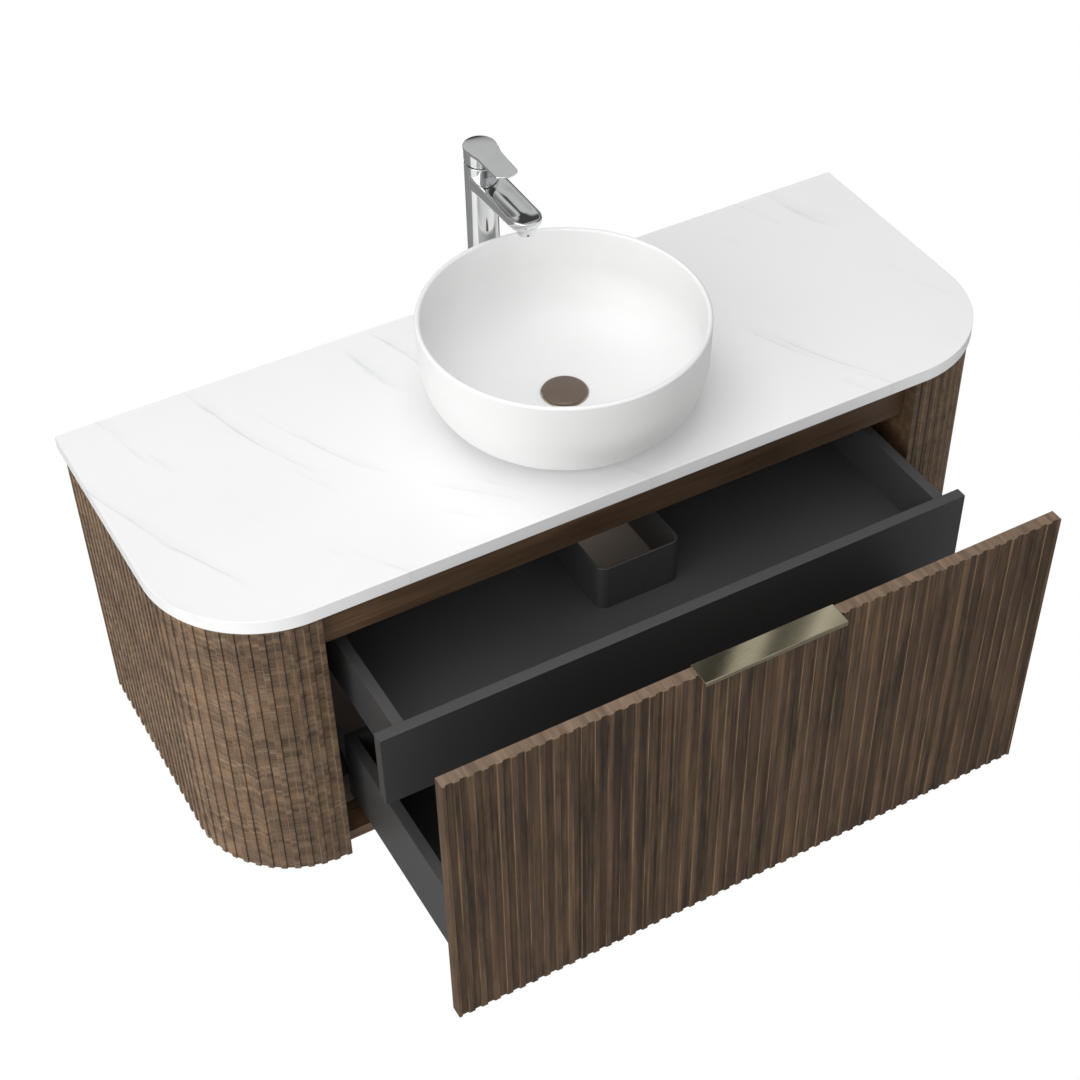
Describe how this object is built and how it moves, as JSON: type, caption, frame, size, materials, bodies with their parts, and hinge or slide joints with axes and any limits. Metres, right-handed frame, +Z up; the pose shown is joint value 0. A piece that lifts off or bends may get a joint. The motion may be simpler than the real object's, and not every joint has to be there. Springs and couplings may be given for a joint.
{
  "type": "vessel sink on vanity",
  "caption": "Wall-hung fluted walnut vanity with a marble-look slab, round vessel basin, tall single-lever mixer, inner drawer and full-height lower drawer.",
  "frame": {"origin": "centre of the four wall screw holes, on the wall plane", "axes": "+X to the right seen from the front, +Y into the wall, +Z up"},
  "size_m": [1.2, 0.763, 0.7355],
  "materials": {
    "stone_slab": "honed, faint grey veins",
    "walnut_fluted": "satin walnut veneer over flutes",
    "walnut_plain": "satin walnut veneer",
    "carcass_board": "matt grey laminate on board",
    "ceramic_white": "matt white glaze",
    "drain_bronze": "brushed bronze plate",
    "black_rubber": "moulded",
    "drain_brass": "machined",
    "faucet_chrome": "mirror polish",
    "plated_hardware": "zinc plated",
    "cartridge_plastic": "moulded",
    "graphite_board": "graphite laminate, semi-gloss",
    "shroud_plastic": "moulded, semi-gloss",
    "beech_dowel": "turned beech",
    "pull_metal": "brushed champagne anodised",
    "runner_steel": "galvanised"
  },
  "bodies": {
    "cabinet": {"back_panel": "carcass_board", "bottom_front_rail": "walnut_plain", "bottom_panel": "carcass_board", "corner_former_left": "carcass_board", "corner_former_right": "carcass_board", "countertop": "stone_slab", "drain_body": "drain_brass", "drain_gasket": "black_rubber", "drain_locknut": "drain_brass", "drain_tailpiece": "drain_brass", "faucet_aerator": "cartridge_plastic", "faucet_base_gasket": "black_rubber", "faucet_body": "faucet_chrome", "faucet_cartridge": "cartridge_plastic", "faucet_retaining_ring": "faucet_chrome", "faucet_shank": "plated_hardware", "faucet_shank_nut": "plated_hardware", "faucet_washer": "plated_hardware", "front_rail": "walnut_plain", "inner_runner_cabinet_left": "runner_steel", "inner_runner_cabinet_right": "runner_steel", "inner_wall_left": "walnut_plain", "inner_wall_right": "walnut_plain", "lower_runner_cabinet_left": "runner_steel", "lower_runner_cabinet_right": "runner_steel", "rear_rail_lower": "carcass_board", "rear_rail_upper": "carcass_board", "side_panel_left": "walnut_fluted", "side_panel_right": "walnut_fluted", "sink_bowl": "ceramic_white"},
    "drain_plug": {"drain_cap": "drain_bronze", "drain_cap_seal": "black_rubber"},
    "faucet_swivel": {"faucet_dome": "faucet_chrome"},
    "faucet_handle": {"faucet_lever": "faucet_chrome", "faucet_stem": "plated_hardware", "faucet_grub_screw": "plated_hardware"},
    "lower_drawer": {"lower_drawer_back": "graphite_board", "lower_drawer_dowels": "beech_dowel", "lower_drawer_floor": "graphite_board", "lower_drawer_front": "walnut_fluted", "lower_drawer_side_left": "graphite_board", "lower_drawer_side_right": "graphite_board", "edge_pull": "pull_metal", "edge_pull_screws": "plated_hardware", "lower_runner_drawer": "runner_steel"},
    "lower_runner": {"lower_runner_middle": "runner_steel"},
    "inner_drawer": {"inner_drawer_back_left": "graphite_board", "inner_drawer_back_right": "graphite_board", "inner_drawer_dowels": "beech_dowel", "inner_drawer_floor": "graphite_board", "inner_drawer_front": "graphite_board", "inner_drawer_shroud": "shroud_plastic", "inner_drawer_side_left": "graphite_board", "inner_drawer_side_right": "graphite_board", "inner_runner_drawer": "runner_steel"},
    "inner_runner": {"inner_runner_middle": "runner_steel"}
  },
  "joints": [
    {"name": "lower_drawer_slide", "type": "slide", "parent": "cabinet", "child": "lower_drawer", "axis": [0, -1, 0], "range_m": [-0.302, 0]},
    {"name": "lower_runner_slide", "type": "slide", "parent": "cabinet", "child": "lower_runner", "axis": [0, -1, 0], "range_m": [-0.151, 0]},
    {"name": "inner_drawer_slide", "type": "slide", "parent": "cabinet", "child": "inner_drawer", "axis": [0, -1, 0], "range_m": [-0.151, 0]},
    {"name": "inner_runner_slide", "type": "slide", "parent": "cabinet", "child": "inner_runner", "axis": [0, -1, 0], "range_m": [-0.0755, 0]},
    {"name": "faucet_swivel", "type": "hinge", "parent": "cabinet", "child": "faucet_swivel", "pos_m": [0, -0.049, 0.484], "axis": [0, 0, 1], "range_deg": [-45, 45]},
    {"name": "faucet_lever_lift", "type": "hinge", "parent": "faucet_swivel", "child": "faucet_handle", "pos_m": [0, -0.049, 0.484], "axis": [-1, 0, 0], "range_deg": [0, 18]},
    {"name": "drain_cap_lift", "type": "slide", "parent": "cabinet", "child": "drain_plug", "axis": [0, 0, 1], "range_m": [0, 0.01]}
  ],
  "couplings": [
    {"joint": "lower_runner_slide", "follows": "lower_drawer_slide", "ratio": 0.5},
    {"joint": "inner_drawer_slide", "follows": "lower_drawer_slide", "ratio": 0.5},
    {"joint": "inner_runner_slide", "follows": "lower_drawer_slide", "ratio": 0.25}
  ]
}
